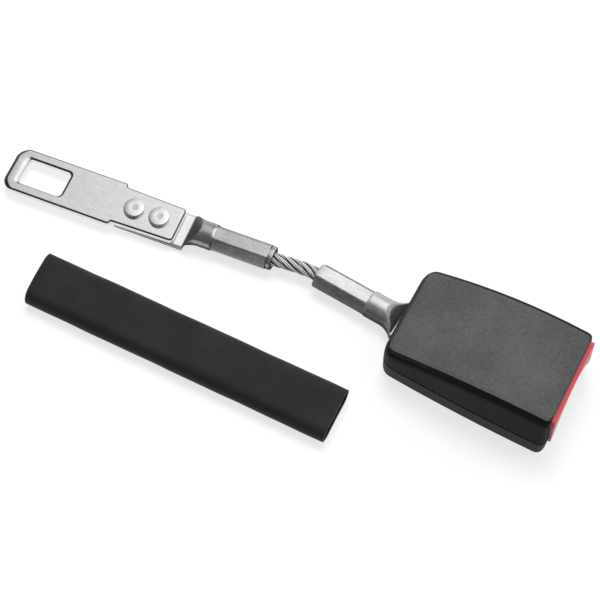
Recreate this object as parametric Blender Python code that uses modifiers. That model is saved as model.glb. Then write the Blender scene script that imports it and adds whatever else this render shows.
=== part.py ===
"""Seat belt extender: a steel tongue and a push-button buckle joined by a short wire rope.

Lengths are metres. The origin is the centre of the buckle's flat underside, +X runs from the
rope to the button and +Z is up. A loose cover sleeve lies beside the rope.
"""

import math

import bmesh
import bpy
from mathutils import Matrix, Vector

# Running clearance between neighbouring pieces.
GAP = 0.0003

# Buckle covers: the outline at the parting line, the arched roof and the walls.
CASE_REAR = -0.0371
CASE_FRONT = 0.0370
ROOF_FRONT = 0.0352
HALF_REAR = 0.0221
HALF_FRONT = 0.0245
SIDE_BULGE = 0.0008
LEAN_REAR = 0.0003
LEAN_FRONT = 0.0016
PARTING_Z = 0.0105
GROOVE_DEPTH = 0.0006
GROOVE_H = 0.0006
ROOF_REAR_Z = 0.0213
ROOF_FRONT_Z = 0.0278
ROOF_CROWN = 0.0033
CORNER_R = 0.0052
CORNER_FRONT_R = 0.0033
CORNER_TOP_R = 0.0018
ROOF_R = 0.0038
FOOT_R = 0.0020
FOOT_DRAFT = 0.0004
WALL = 0.0016
FRONT_WALL = 0.0062
FLOOR = 0.0019

# Wire rope.
ROPE_R = 0.0030
ROPE_LAY = 0.0340
ROPE_GRIP = 0.0230
STRANDS = 6

# Terminals: a steel tube, crimped to a hexagon on the rope and pressed flat at the other end.
TUBE_R = 0.0059
HEX_FLATS = 0.0104
TUBE_LIFT = 0.0001
CRIMP_RAMP = 0.0011
TUBE_FLAT_GAP = 0.0001

# Buckle-side terminal, measured along the tube from its rope end.
ANCHOR_X = -0.0270
ANCHOR_TURN = math.radians(-4.0)
BUCKLE_TUBE_TO_ANCHOR = 0.0518
BUCKLE_HEX = 0.0259
BUCKLE_BARREL = 0.0071
BUCKLE_FLARE = 0.0075
BUCKLE_TAB_PAST_ANCHOR = 0.0065
BUCKLE_TAB_HALF = 0.0096
BUCKLE_TAB_T = 0.0032
DOOR_CLEAR = 0.0022

# Frame inside the buckle: a channel of folded steel that guides the tongue.
FRAME_T = 0.0024
FRAME_REAR_CLEAR = 0.0030
FRAME_FRONT_CLEAR = 0.0018
GUIDE_T = 0.0020
GUIDE_REAR = -0.0200
GUIDE_FRONT = 0.0175
GUIDE_TOP_Z = 0.0170

# Latch: a plate on a cross pin, with a hook that drops through the tongue's window.
PIVOT_X = -0.0120
PIVOT_Z = 0.0135
PIN_R = 0.0015
LATCH_BARREL_R = 0.0030
LATCH_T = 0.0022
LATCH_SIDE_CLEAR = 0.0005
HOOK_X = 0.0090
HOOK_LEN = 0.0038
HOOK_SIDE_CLEAR = 0.0009
HOOK_DIP = 0.0006
HOOK_HOLE_REAR = 0.0010
HOOK_HOLE_FRONT = 0.0017
HOOK_HOLE_SIDE = 0.0006
LUG_X = 0.0060
LUG_R = 0.0012
LUG_SHORT = 0.0002
LUG_NOTCH = 0.0012
LATCH_SPRING_X = -0.0020
LATCH_SPRING_R = 0.0025
LATCH_SPRING_LEN = 0.0073
LATCH_SPRING_TURNS = 5

# Ejector slide and its spring.
EJECTOR_LEN = 0.0148
EJECTOR_T = 0.0035
EJECTOR_TO_HOOK = 0.0006
EJECTOR_SLOT = 0.0054
EJECTOR_slot_half = 0.0023
EJECTOR_SPRING_R = 0.0015
EJECTOR_SPRING_OFF = 0.0004
EJECTOR_SPRING_TURNS = 9

# Release button.
BUTTON_PROUD = 0.0030
BUTTON_CHEEK = 0.0025
BUTTON_TOP_R = 0.0020
BUTTON_SLANT = 0.0010
BUTTON_DEPTH = 0.0143
BUTTON_CLEAR = 0.0004
BUTTON_WALL = 0.0015
BUTTON_CAP = 0.0023
BUTTON_SET_BACK = 0.0040
BUTTON_TRAVEL = 0.0050

# Finger scoop across the front of the button and the lower cover, deepest at the foot.
SCOOP_DEPTH = 0.0042
SCOOP_HALF = 0.0180
SCOOP_LOW_Z = 0.0040
SCOOP_TOP_CLEAR = 0.0004

# Arms that reach back from the button beside the frame.
ARM_CLEAR = 0.0007
ARM_T = 0.0025
ARM_REAR = 0.0040
ARM_ABOVE = 0.00074
ARM_FOOT_Z = 0.0072
ARM_FOOT_FRONT = 0.0220
ARM_FOOT_RAMP = 0.0020
RAMP_SLOPE = 0.87
BUTTON_SPRING_R = 0.00135
BUTTON_SPRING_LEN = 0.0177
BUTTON_SPRING_TURNS = 9
BUTTON_SPRING_ASIDE = 0.0003
SPRING_WIRE = 0.0005
SEAT_T = 0.0017

# Tongue slot and the tongue plate that fits it.
SLOT_SIDE_CLEAR = 0.0011
SLOT_TOP_CLEAR = 0.0016
GUIDE_CLEAR = 0.0014
MOUTH_DEPTH = 0.0050
TONGUE_T = 0.0030
TONGUE_HALF = 0.0108
TONGUE_TIP_R = 0.0055
WINDOW_START = 0.0063
WINDOW_LEN = 0.0207
WINDOW_HALF = 0.0064
WINDOW_R = 0.0020
SHOULDER = 0.0519
SHOULDER_R = 0.0010
NECK_HALF_FRONT = 0.0091
NECK_HALF_REAR = 0.0084
NECK_R = 0.0018
TONGUE_LEN = 0.0812

# Tongue-side terminal, riveted under the plate. Its tab ends short of the front rivet's far side.
PLATE_TO_ROPE = 0.0440
LIP_LEN = 0.0022
LIP_R = 0.0052
TONGUE_HEX = 0.0255
TONGUE_HEX_TURN = math.radians(-5.0)
TONGUE_BARREL = 0.0053
TONGUE_FACET = 0.0072
TONGUE_TAB_T = 0.0028
TONGUE_TAB_HALF = 0.0088
TONGUE_TAB_PAST_RIVET = 0.0070
TAB_LIFT = 0.0002

# Rivets. The rear one is set in from the plate's rear end.
RIVET_EDGE = 0.0094
RIVET_PITCH = 0.0118
RIVET_R = 0.0024
RIVET_HEAD_R = 0.0047
RIVET_HEAD_H = 0.0016
RIVET_DIMPLE_R = 0.0015
RIVET_DIMPLE = 0.0004
ANCHOR_R = 0.0025
ANCHOR_HEAD_R = 0.0042
ANCHOR_HEAD_H = 0.0014
ANCHOR_FOOT = 0.0011

# How the two halves lie: the gap between the terminals, the heading of the straight line across
# it and the angle between the terminals.
ROPE_SPAN = 0.0202
ROPE_HEADING = math.radians(6.2)
ROPE_BEND = math.radians(10.4)

# Cover sleeve, taken off and laid beside the rope.
SLEEVE_LEN = 0.1402
SLEEVE_WIDTH = 0.0250
SLEEVE_H = 0.0094
SLEEVE_WALL = 0.0012
SLEEVE_AT = (-0.1126, -0.0511)
SLEEVE_TURN = math.radians(1.7)

RING = 48
EPS = 0.0010

axis_z = TUBE_R + TUBE_LIFT
slot_half = TONGUE_HALF + SLOT_SIDE_CLEAR
guide_half = TONGUE_HALF + GUIDE_CLEAR
guide_outer = guide_half + GUIDE_T
arm_inner = guide_outer + ARM_CLEAR
lug_half = arm_inner + ARM_T - LUG_SHORT
hook_half = WINDOW_HALF - HOOK_SIDE_CLEAR
button_half = HALF_FRONT - LEAN_FRONT - BUTTON_CHEEK
frame_rear = CASE_REAR + WALL + FRAME_REAR_CLEAR
frame_front = CASE_FRONT - FRONT_WALL - FRAME_FRONT_CLEAR
base_z0 = FLOOR + GAP
base_z1 = base_z0 + FRAME_T
tab_z0 = base_z1 + GAP
tab_z1 = tab_z0 + BUCKLE_TAB_T
slot_top_z = base_z1 + TONGUE_T + SLOT_TOP_CLEAR
button_bottom_z = slot_top_z + BUTTON_CLEAR
front_rivet = TONGUE_LEN - RIVET_EDGE - RIVET_PITCH
tongue_tube_end = TONGUE_LEN + PLATE_TO_ROPE
tongue_tab_end = front_rivet - TONGUE_TAB_PAST_RIVET

for old in list(bpy.data.objects):
    bpy.data.objects.remove(old, do_unlink=True)

parts = bpy.data.collections.new("seat_belt_extender")
bpy.context.scene.collection.children.link(parts)
tools = bpy.data.collections.new("cutters")
tools.hide_render = True
bpy.context.scene.collection.children.link(tools)


def material(name, colour, metallic, roughness):
    """A plain surface of one colour."""
    mat = bpy.data.materials.new(name)
    mat.use_nodes = True
    shader = mat.node_tree.nodes["Principled BSDF"]
    shader.inputs["Base Color"].default_value = (*colour, 1.0)
    shader.inputs["Metallic"].default_value = metallic
    shader.inputs["Roughness"].default_value = roughness
    return mat


BLACK_PLASTIC = (0.035, 0.035, 0.037)
RED_PLASTIC = (0.55, 0.03, 0.04)
STEEL = (0.62, 0.62, 0.61)
BRIGHT_STEEL = (0.78, 0.78, 0.77)
SPRING_STEEL = (0.35, 0.35, 0.36)
RUBBER = (0.015, 0.015, 0.016)


def smooth(mesh, angle=35.0):
    """Shade round surfaces smooth and keep the corners crisp."""
    for face in mesh.polygons:
        face.use_smooth = True
    mesh.set_sharp_from_angle(angle=math.radians(angle))


def piece(name, mesh, colour, metallic, roughness):
    """A named piece of the object with its own material."""
    obj = bpy.data.objects.new(name, mesh)
    mesh.name = name
    mesh.materials.clear()
    mesh.materials.append(material(name, colour, metallic, roughness))
    smooth(mesh)
    parts.objects.link(obj)
    return obj


def tool(name, mesh):
    """A body used only in a Boolean."""
    obj = bpy.data.objects.new(name, mesh)
    obj.display_type = "WIRE"
    obj.hide_render = True
    tools.objects.link(obj)
    return obj


def boolean(obj, mesh, name, operation="DIFFERENCE"):
    """Cut or join a mesh, given in the world's coordinates."""
    mod = obj.modifiers.new(name, "BOOLEAN")
    mod.operation = operation
    mod.solver = "EXACT"
    mod.object = tool(f"{obj.name}_{name}", mesh)
    return mod


def loft(rings):
    """A closed solid through rings of points, each in the same order."""
    bm = bmesh.new()
    made = [[bm.verts.new(p) for p in ring] for ring in rings]
    count = len(rings[0])
    for a, b in zip(made, made[1:]):
        for i in range(count):
            j = (i + 1) % count
            bm.faces.new((a[i], a[j], b[j], b[i]))
    bm.faces.new(list(reversed(made[0])))
    bm.faces.new(made[-1])
    bmesh.ops.recalc_face_normals(bm, faces=bm.faces)
    mesh = bpy.data.meshes.new("loft")
    bm.to_mesh(mesh)
    bm.free()
    return mesh


def prism(outline, low, high, axis="Z"):
    """An outline carried from low to high along an axis."""
    order = {"Z": (0, 1, 2), "Y": (0, 2, 1), "X": (2, 0, 1)}[axis]

    def at(u, v, w):
        values = (u, v, w)
        return tuple(values[i] for i in order)

    return loft([[at(u, v, w) for u, v in outline] for w in (low, high)])


def box(x0, x1, y0, y1, z0, z1):
    """A box between two corners."""
    return prism([(x0, y0), (x1, y0), (x1, y1), (x0, y1)], z0, z1)


def circle(cx, cy, radius, count=32):
    """Points of a circle."""
    step = 2 * math.pi / count
    return [(cx + radius * math.cos(i * step), cy + radius * math.sin(i * step)) for i in range(count)]


def turned(profile, at, count=32):
    """A body turned about a vertical axis; profile is (radius, z) from bottom to top."""
    rings = []
    for radius, z in profile:
        rings.append([(x, y, z) for x, y in circle(at[0], at[1], radius, count)])
    return loft(rings)


def rounded(points, radii, steps=5):
    """A polygon with each corner replaced by an arc."""
    out = []
    count = len(points)
    for i, (p, radius) in enumerate(zip(points, radii)):
        p = Vector(p)
        before = (Vector(points[i - 1]) - p).normalized()
        after = (Vector(points[(i + 1) % count]) - p).normalized()
        if radius <= 0:
            out.append(tuple(p))
            continue
        half = before.angle(after) / 2
        centre = p + (before + after).normalized() * (radius / math.sin(half))
        start = p + before * (radius / math.tan(half)) - centre
        end = p + after * (radius / math.tan(half)) - centre
        turn = math.atan2(start.x * end.y - start.y * end.x, start.dot(end))
        for k in range(steps + 1):
            a = turn * k / steps
            c, s = math.cos(a), math.sin(a)
            out.append((centre.x + c * start.x - s * start.y, centre.y + s * start.x + c * start.y))
    return out


def placed(mesh, at, turn):
    """Turn a mesh about the vertical and move its origin to a point."""
    mesh.transform(Matrix.Translation((at[0], at[1], 0)) @ Matrix.Rotation(turn, 4, "Z"))
    return mesh


def along(at, turn, distance, aside=0.0):
    """A point at a distance along a heading, and aside to its left."""
    c, s = math.cos(turn), math.sin(turn)
    return (at[0] + c * distance - s * aside, at[1] + s * distance + c * aside)


# Buckle covers. Both are lofts along X whose sections shrink into the rounded ends.

def quarter(depth, radius):
    """How far a rounded edge has drawn in at a depth below its end."""
    if radius <= 0 or depth >= radius:
        return 0.0
    rest = radius - max(depth, 0.0)
    return radius - math.sqrt(radius * radius - rest * rest)


def side_at(x):
    """Half the width of the casing at the parting line."""
    share = (x - CASE_REAR) / (CASE_FRONT - CASE_REAR)
    bulge = SIDE_BULGE * (1 - (2 * share - 1) ** 2)
    return HALF_REAR + (HALF_FRONT - HALF_REAR) * share + bulge


def lean_at(x):
    """How far the side wall leans in at the roof."""
    share = (x - CASE_REAR) / (CASE_FRONT - CASE_REAR)
    return LEAN_REAR + (LEAN_FRONT - LEAN_REAR) * share


def roof_at(x):
    """Height of the arched roof on the centre line."""
    share = (x - CASE_REAR) / (ROOF_FRONT - CASE_REAR)
    chord = ROOF_REAR_Z + (ROOF_FRONT_Z - ROOF_REAR_Z) * share
    return chord + ROOF_CROWN * (1 - (2 * share - 1) ** 2)


def stations(x0, x1, round0, round1, steps=5, middle=9):
    """Places along X, closer together where an end is rounded."""
    found = []
    if round0 > 0:
        found += [x0 + round0 * (1 - math.cos(math.pi / 2 * k / steps)) for k in range(steps)]
    if round1 > 0:
        found += [x1 - round1 * (1 - math.cos(math.pi / 2 * k / steps)) for k in range(steps)]
    a, b = x0 + round0, x1 - round1
    found += [a + (b - a) * k / (middle - 1) for k in range(middle)]
    return sorted(found)


def arc_down(half, z_top, radius, steps=4):
    """The rounded shoulder of a section, from the side up to the flat."""
    points = []
    for k in range(steps + 1):
        a = math.pi / 2 * k / steps
        points.append((half - radius + radius * math.cos(a), z_top - radius + radius * math.sin(a)))
    return points


def roof_body(inset, x0, x1, z0, front=0.0):
    """The solid under the roof, drawn in by an inset, standing on z0.

    With a front corner radius the front end is rounded, and it slants forward to the foot.
    """
    rear = CASE_REAR + inset
    corner = max(CORNER_R - inset, 0.0004)
    edge = max(ROOF_R - inset, 0.0004)
    rings = []
    for x in stations(x0, x1, corner, front):
        narrow = quarter(x - rear, corner)
        low = side_at(x) - inset - narrow - (quarter(x1 - x, front) if front else 0.0)
        high = side_at(x) - inset - narrow - (quarter(x1 - x, CORNER_TOP_R) if front else 0.0) - lean_at(x)
        top = roof_at(x) - inset - quarter(x - rear, edge)
        run = (z0 - PARTING_Z) / (roof_at(x) - PARTING_Z)
        foot = low + (high - low) * max(run, 0.0)
        shoulder = arc_down(high, top, edge)
        half = [(foot, z0)] + shoulder
        left = [(-y, z) for y, z in reversed(half)]
        lead = (CASE_FRONT - ROOF_FRONT) * (x - x0) / (x1 - x0) if front else 0.0
        ring = [(x + lead * (top - z) / (top - z0), y, z) for y, z in half + left]
        rings.append(ring)
    return loft(rings)


def tray_body(inset, x0, x1, z0, z1):
    """The solid of the lower cover, drawn in by an inset, between two heights."""
    rear = max(CORNER_R - inset, 0.0004)
    front = max(CORNER_FRONT_R - inset, 0.0004)
    edge = max(FOOT_R - inset, 0.0004)
    rings = []
    for x in stations(x0, x1, rear, front):
        high = side_at(x) - inset - quarter(x - x0, rear) - quarter(x1 - x, front)
        low = high - FOOT_DRAFT
        base = z0 + quarter(min(x - x0, x1 - x), edge)
        half = [(high, z1)]
        for y, z in arc_down(low, 0.0, edge):
            half.append((y, base - z))
        left = [(-y, z) for y, z in reversed(half)]
        rings.append([(x, y, z) for y, z in half + left])
    return loft(rings)


def mouth_body(grow, x0, x1, z0):
    """The button's block under the roof, grown by a clearance, standing on z0."""
    edge = max(BUTTON_TOP_R + grow, 0.0003)
    rings = []
    for x in (x0, (x0 + x1) / 2, x1):
        top = roof_at(x) - WALL - BUTTON_CLEAR + grow
        half = [(button_half + grow, z0)] + arc_down(button_half + grow, top, edge)
        left = [(-y, z) for y, z in reversed(half)]
        rings.append([(x, y, z) for y, z in half + left])
    return loft(rings)


button_x1 = ROOF_FRONT + BUTTON_PROUD
button_top_z = roof_at(button_x1) - WALL - BUTTON_CLEAR


def scoop_body():
    """The finger scoop: a leaning cylinder that starts at the button's top edge."""
    radius = (SCOOP_HALF ** 2 + SCOOP_DEPTH ** 2) / (2 * SCOOP_DEPTH)
    low_x = CASE_FRONT - SCOOP_DEPTH
    top_x = button_x1 - BUTTON_SLANT + SCOOP_TOP_CLEAR
    slope = (top_x - low_x) / (button_top_z - SCOOP_LOW_Z)
    rings = []
    for z in (-EPS, button_top_z + 2 * EPS):
        centre = low_x + slope * (z - SCOOP_LOW_Z) + radius
        rings.append([(x, y, z) for x, y in circle(centre, 0.0, radius, 160)])
    return loft(rings)


lower_cover = piece(
    "lower_cover",
    tray_body(0.0, CASE_REAR, CASE_FRONT, 0.0, PARTING_Z),
    BLACK_PLASTIC,
    0.0,
    0.55,
)
boolean(
    lower_cover,
    tray_body(WALL, CASE_REAR + WALL, CASE_FRONT - FRONT_WALL, FLOOR, PARTING_Z + EPS),
    "hollow",
)

door_half = BUCKLE_TAB_HALF + DOOR_CLEAR
boolean(
    lower_cover,
    box(CASE_REAR - EPS, CASE_REAR + WALL + EPS, -door_half, door_half, tab_z0 - GAP, tab_z1 + GAP),
    "rope_door",
)
boolean(
    lower_cover,
    box(CASE_FRONT - FRONT_WALL - EPS, CASE_FRONT + EPS, -slot_half, slot_half, base_z1, PARTING_Z + EPS),
    "tongue_slot",
)
boolean(
    lower_cover,
    mouth_body(BUTTON_CLEAR, CASE_FRONT - FRONT_WALL - EPS, CASE_FRONT + EPS, slot_top_z),
    "mouth",
)
boolean(lower_cover, scoop_body(), "scoop")

upper_z0 = PARTING_Z + GAP
upper_cover = piece(
    "upper_cover",
    roof_body(0.0, CASE_REAR, ROOF_FRONT, upper_z0 + GROOVE_H, CORNER_FRONT_R),
    BLACK_PLASTIC,
    0.0,
    0.55,
)
boolean(
    upper_cover,
    roof_body(GROOVE_DEPTH, CASE_REAR + GROOVE_DEPTH, ROOF_FRONT - GROOVE_DEPTH, upper_z0, CORNER_FRONT_R),
    "rim",
    "UNION",
)
mouth_x0 = ROOF_FRONT - MOUTH_DEPTH
boolean(
    upper_cover,
    roof_body(WALL, CASE_REAR + WALL, mouth_x0, upper_z0 - EPS),
    "hollow",
)
boolean(
    upper_cover,
    mouth_body(BUTTON_CLEAR, mouth_x0 - EPS, CASE_FRONT + EPS, slot_top_z),
    "mouth",
)

# Seats for the button's springs, moulded with the lower cover, and a peg that centres the latch's
# spring, moulded with the upper one.
seat_x1 = ARM_REAR - GAP - BUTTON_SPRING_LEN - GAP
latch_top_z = PIVOT_Z + LATCH_T / 2
peg_z = latch_top_z + GAP + LATCH_SPRING_LEN + GAP
spring_z = ARM_FOOT_Z + BUTTON_SPRING_R + GAP / 2
for side, name in ((1, "left"), (-1, "right")):
    reach = side_at(seat_x1) - WALL / 2
    y0, y1 = sorted((side * (guide_outer + GAP), side * reach))
    boolean(
        lower_cover,
        box(seat_x1 - SEAT_T, seat_x1, y0, y1, FLOOR / 2, PARTING_Z),
        f"seat_{name}",
        "UNION",
    )
peg_top = roof_at(LATCH_SPRING_X) - WALL / 2
boolean(
    upper_cover,
    turned([(LATCH_SPRING_R, peg_z), (LATCH_SPRING_R, peg_top)], (LATCH_SPRING_X, 0.0)),
    "spring_peg",
    "UNION",
)

# Frame.
frame = piece(
    "buckle_frame",
    box(frame_rear, frame_front, -guide_outer, guide_outer, base_z0, base_z1),
    STEEL,
    1.0,
    0.38,
)
for side, name in ((1, "left"), (-1, "right")):
    y0, y1 = sorted((side * guide_half, side * guide_outer))
    boolean(frame, box(GUIDE_REAR, GUIDE_FRONT, y0, y1, base_z1 - EPS, GUIDE_TOP_Z), f"guide_{name}", "UNION")
    notch = LUG_R + LUG_NOTCH
    boolean(
        frame,
        box(
            LUG_X - notch,
            LUG_X + notch,
            y0 - EPS,
            y1 + EPS,
            PIVOT_Z - LUG_R - GAP,
            GUIDE_TOP_Z + EPS,
        ),
        f"lug_notch_{name}",
    )
boolean(
    frame,
    prism(circle(PIVOT_X, PIVOT_Z, PIN_R + GAP, 24), -guide_outer - EPS, guide_outer + EPS, "Y"),
    "pin_hole",
)
boolean(
    frame,
    box(
        HOOK_X - HOOK_HOLE_REAR,
        HOOK_X + HOOK_LEN + HOOK_HOLE_FRONT,
        -hook_half - HOOK_HOLE_SIDE,
        hook_half + HOOK_HOLE_SIDE,
        base_z0 - EPS,
        base_z1 + EPS,
    ),
    "hook_hole",
)

# Anchor rivet, countersunk under the frame, through the frame and the rope's terminal.
anchor_at = (ANCHOR_X, 0.0)
anchor_head_z = tab_z1 + GAP


def anchor_profile(grow, z0, z1):
    """The anchor rivet's shank and countersunk foot, grown by a clearance."""
    return [
        (ANCHOR_R + ANCHOR_FOOT + grow, z0),
        (ANCHOR_R + grow, z0 + ANCHOR_FOOT),
        (ANCHOR_R + grow, z1),
    ]


anchor_rivet = piece(
    "anchor_rivet",
    turned(
        anchor_profile(0.0, base_z0, anchor_head_z)
        + [
            (ANCHOR_HEAD_R, anchor_head_z + 0.00001),
            (ANCHOR_HEAD_R, anchor_head_z + ANCHOR_HEAD_H * 0.35),
            (ANCHOR_HEAD_R * 0.72, anchor_head_z + ANCHOR_HEAD_H * 0.85),
            (ANCHOR_HEAD_R * 0.36, anchor_head_z + ANCHOR_HEAD_H),
        ],
        anchor_at,
    ),
    BRIGHT_STEEL,
    1.0,
    0.3,
)
hole = turned(
    [(ANCHOR_R + ANCHOR_FOOT + GAP + EPS, base_z0 - EPS)] + anchor_profile(GAP, base_z0, base_z1 + EPS),
    anchor_at,
)
boolean(frame, hole, "anchor_hole")


# Rope terminals. A section is a ring of points seen along the tube, from the left side up.

def round_ring(radius, turn):
    """A round section."""
    step = 2 * math.pi / RING
    return [(radius * math.cos(turn + i * step), radius * math.sin(turn + i * step)) for i in range(RING)]


def hex_ring(turn):
    """A hexagonal section with a flat on top before the turn, its corners blunted by the tube."""
    step = 2 * math.pi / RING
    ring = []
    for i in range(RING):
        off = (i * step) % (math.pi / 3) - math.pi / 6
        radius = min(HEX_FLATS / 2 / math.cos(off), TUBE_R - TUBE_FLAT_GAP)
        ring.append((radius * math.cos(turn + i * step), radius * math.sin(turn + i * step)))
    return ring


def flat_ring(half, z0, z1):
    """A flat section with rounded sides, seen from the tube's axis."""
    thick = (z1 - z0) / 2
    mid = (z1 + z0) / 2
    ring = []
    for i in range(RING):
        a = math.degrees(2 * math.pi * i / RING)
        a = a - 360 if a > 180 else a
        flip = 1 if abs(a) <= 90 else -1
        b = a if flip > 0 else math.copysign(180, a) - a
        if abs(b) <= 30:
            c = math.radians(3 * b)
            ring.append((flip * (half - thick + thick * math.cos(c)), mid + thick * math.sin(c)))
        else:
            share = (90 - abs(b)) / 60
            ring.append((flip * (half - thick) * share, mid + math.copysign(thick, b)))
    return ring


def pressed_ring(share, turn, half, z0, z1):
    """A section on the way from the round tube (share 0) to the flat tab (share 1)."""
    top = TUBE_R + (z1 - TUBE_R) * share
    bottom = -TUBE_R + (z0 + TUBE_R) * share
    flat = flat_ring(half, z0, z1)
    ring = []
    for (y, z), (fy, fz) in zip(round_ring(TUBE_R, turn), flat):
        z = min(max(z, bottom), top)
        blend = share * share * (3 - 2 * share)
        ring.append((y + (fy - y) * blend, z + (fz - z) * blend))
    return ring


def terminal(name, lip, hex_len, barrel, slope, tab_end, half, z0, z1, turn):
    """A terminal along +X from its rope end, as a solid without its bore."""
    flat_z0, flat_z1 = z0 - axis_z, z1 - axis_z
    rings = []

    def put(x, ring):
        rings.append([(x, y, z + axis_z) for y, z in ring])

    if lip > 0:
        put(0.0, round_ring(LIP_R - 0.0004, turn))
        put(0.0004, round_ring(LIP_R, turn))
        put(lip - 0.0003, round_ring(LIP_R, turn))
        put(lip, hex_ring(turn))
    else:
        small = [(y * 0.93, z * 0.93) for y, z in hex_ring(turn)]
        put(0.0, small)
        put(0.0006, hex_ring(turn))
    crimp_end = lip + hex_len
    put(crimp_end - CRIMP_RAMP, hex_ring(turn))
    put(crimp_end, round_ring(TUBE_R, turn))
    press = crimp_end + barrel
    put(press, round_ring(TUBE_R, turn))
    for k in range(1, 9):
        share = k / 8
        put(press + slope * share, pressed_ring(share, turn, half, flat_z0, flat_z1))
    put(tab_end - 0.0012, flat_ring(half, flat_z0, flat_z1))
    put(tab_end, flat_ring(half - 0.0009, flat_z0 + 0.0002, flat_z1 - 0.0002))
    return loft(rings)


def bore(depth):
    """The rope's bore, along +X from the rope end."""
    mesh = prism(circle(0.0, axis_z, ROPE_R + GAP, 24), -EPS, depth, "X")
    return mesh


buckle_tube_at = along(anchor_at, ANCHOR_TURN, -BUCKLE_TUBE_TO_ANCHOR)
buckle_tab_end = BUCKLE_TUBE_TO_ANCHOR + BUCKLE_TAB_PAST_ANCHOR
buckle_terminal = piece(
    "buckle_terminal",
    placed(
        terminal(
            "buckle_terminal",
            0.0,
            BUCKLE_HEX,
            BUCKLE_BARREL,
            BUCKLE_FLARE,
            buckle_tab_end,
            BUCKLE_TAB_HALF,
            tab_z0,
            tab_z1,
            0.0,
        ),
        buckle_tube_at,
        ANCHOR_TURN,
    ),
    STEEL,
    1.0,
    0.32,
)
boolean(buckle_terminal, placed(bore(ROPE_GRIP + GAP), buckle_tube_at, ANCHOR_TURN), "bore")
boolean(
    buckle_terminal,
    turned([(ANCHOR_R + GAP, tab_z0 - EPS), (ANCHOR_R + GAP, tab_z1 + EPS)], anchor_at),
    "anchor_hole",
)

back_turn = ANCHOR_TURN + ROPE_BEND
tongue_tube_at = along(buckle_tube_at, ROPE_HEADING, -ROPE_SPAN)
tongue_tip_at = along(tongue_tube_at, back_turn, -tongue_tube_end)

plate_z0 = TAB_LIFT + TONGUE_TAB_T + GAP
plate_z1 = plate_z0 + TONGUE_T
rivet_at = [
    along(tongue_tip_at, back_turn, front_rivet),
    along(tongue_tip_at, back_turn, front_rivet + RIVET_PITCH),
]

tongue_terminal = piece(
    "tongue_terminal",
    placed(
        terminal(
            "tongue_terminal",
            LIP_LEN,
            TONGUE_HEX,
            TONGUE_BARREL,
            TONGUE_FACET,
            tongue_tube_end - tongue_tab_end,
            TONGUE_TAB_HALF,
            TAB_LIFT,
            TAB_LIFT + TONGUE_TAB_T,
            -TONGUE_HEX_TURN,
        ),
        tongue_tube_at,
        back_turn + math.pi,
    ),
    STEEL,
    1.0,
    0.32,
)
boolean(
    tongue_terminal,
    placed(bore(ROPE_GRIP + GAP), tongue_tube_at, back_turn + math.pi),
    "bore",
)
for name, at in zip(("front", "rear"), rivet_at):
    boolean(
        tongue_terminal,
        turned([(RIVET_R + GAP, -EPS), (RIVET_R + GAP, plate_z0 + EPS)], at, 24),
        f"rivet_hole_{name}",
    )

# Tongue plate.
outline = rounded(
    [
        (0.0, -TONGUE_HALF),
        (SHOULDER, -TONGUE_HALF),
        (SHOULDER + 0.0008, -NECK_HALF_FRONT),
        (TONGUE_LEN, -NECK_HALF_REAR),
        (TONGUE_LEN, NECK_HALF_REAR),
        (SHOULDER + 0.0008, NECK_HALF_FRONT),
        (SHOULDER, TONGUE_HALF),
        (0.0, TONGUE_HALF),
    ],
    [TONGUE_TIP_R, SHOULDER_R, 0.0, NECK_R, NECK_R, 0.0, SHOULDER_R, TONGUE_TIP_R],
)
tongue_plate = piece(
    "tongue_plate",
    placed(prism(outline, plate_z0, plate_z1), tongue_tip_at, back_turn),
    BRIGHT_STEEL,
    1.0,
    0.3,
)
window = rounded(
    [
        (WINDOW_START, -WINDOW_HALF),
        (WINDOW_START + WINDOW_LEN, -WINDOW_HALF),
        (WINDOW_START + WINDOW_LEN, WINDOW_HALF),
        (WINDOW_START, WINDOW_HALF),
    ],
    [WINDOW_R] * 4,
)
boolean(
    tongue_plate,
    placed(prism(window, plate_z0 - EPS, plate_z1 + EPS), tongue_tip_at, back_turn),
    "window",
)
for name, at in zip(("front", "rear"), rivet_at):
    boolean(
        tongue_plate,
        turned([(RIVET_R + GAP, plate_z0 - EPS), (RIVET_R + GAP, plate_z1 + EPS)], at, 24),
        f"rivet_hole_{name}",
    )
edges = tongue_plate.modifiers.new("edges", "BEVEL")
edges.width = 0.00045
edges.segments = 2
edges.limit_method = "ANGLE"
edges.angle_limit = math.radians(50)

head_z = plate_z1 + GAP
for name, at in zip(("front", "rear"), rivet_at):
    piece(
        f"tongue_rivet_{name}",
        turned(
            [
                (RIVET_R, TAB_LIFT),
                (RIVET_R, head_z),
                (RIVET_HEAD_R, head_z + 0.00001),
                (RIVET_HEAD_R, head_z + RIVET_HEAD_H * 0.45),
                (RIVET_HEAD_R * 0.95, head_z + RIVET_HEAD_H * 0.72),
                (RIVET_HEAD_R * 0.80, head_z + RIVET_HEAD_H * 0.94),
                (RIVET_HEAD_R * 0.62, head_z + RIVET_HEAD_H),
                (RIVET_DIMPLE_R, head_z + RIVET_HEAD_H),
                (RIVET_DIMPLE_R * 0.75, head_z + RIVET_HEAD_H - RIVET_DIMPLE),
            ],
            at,
        ),
        BRIGHT_STEEL,
        1.0,
        0.28,
    )


# Wire rope: strands laid right-handed, one solid of their common outline.

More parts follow.
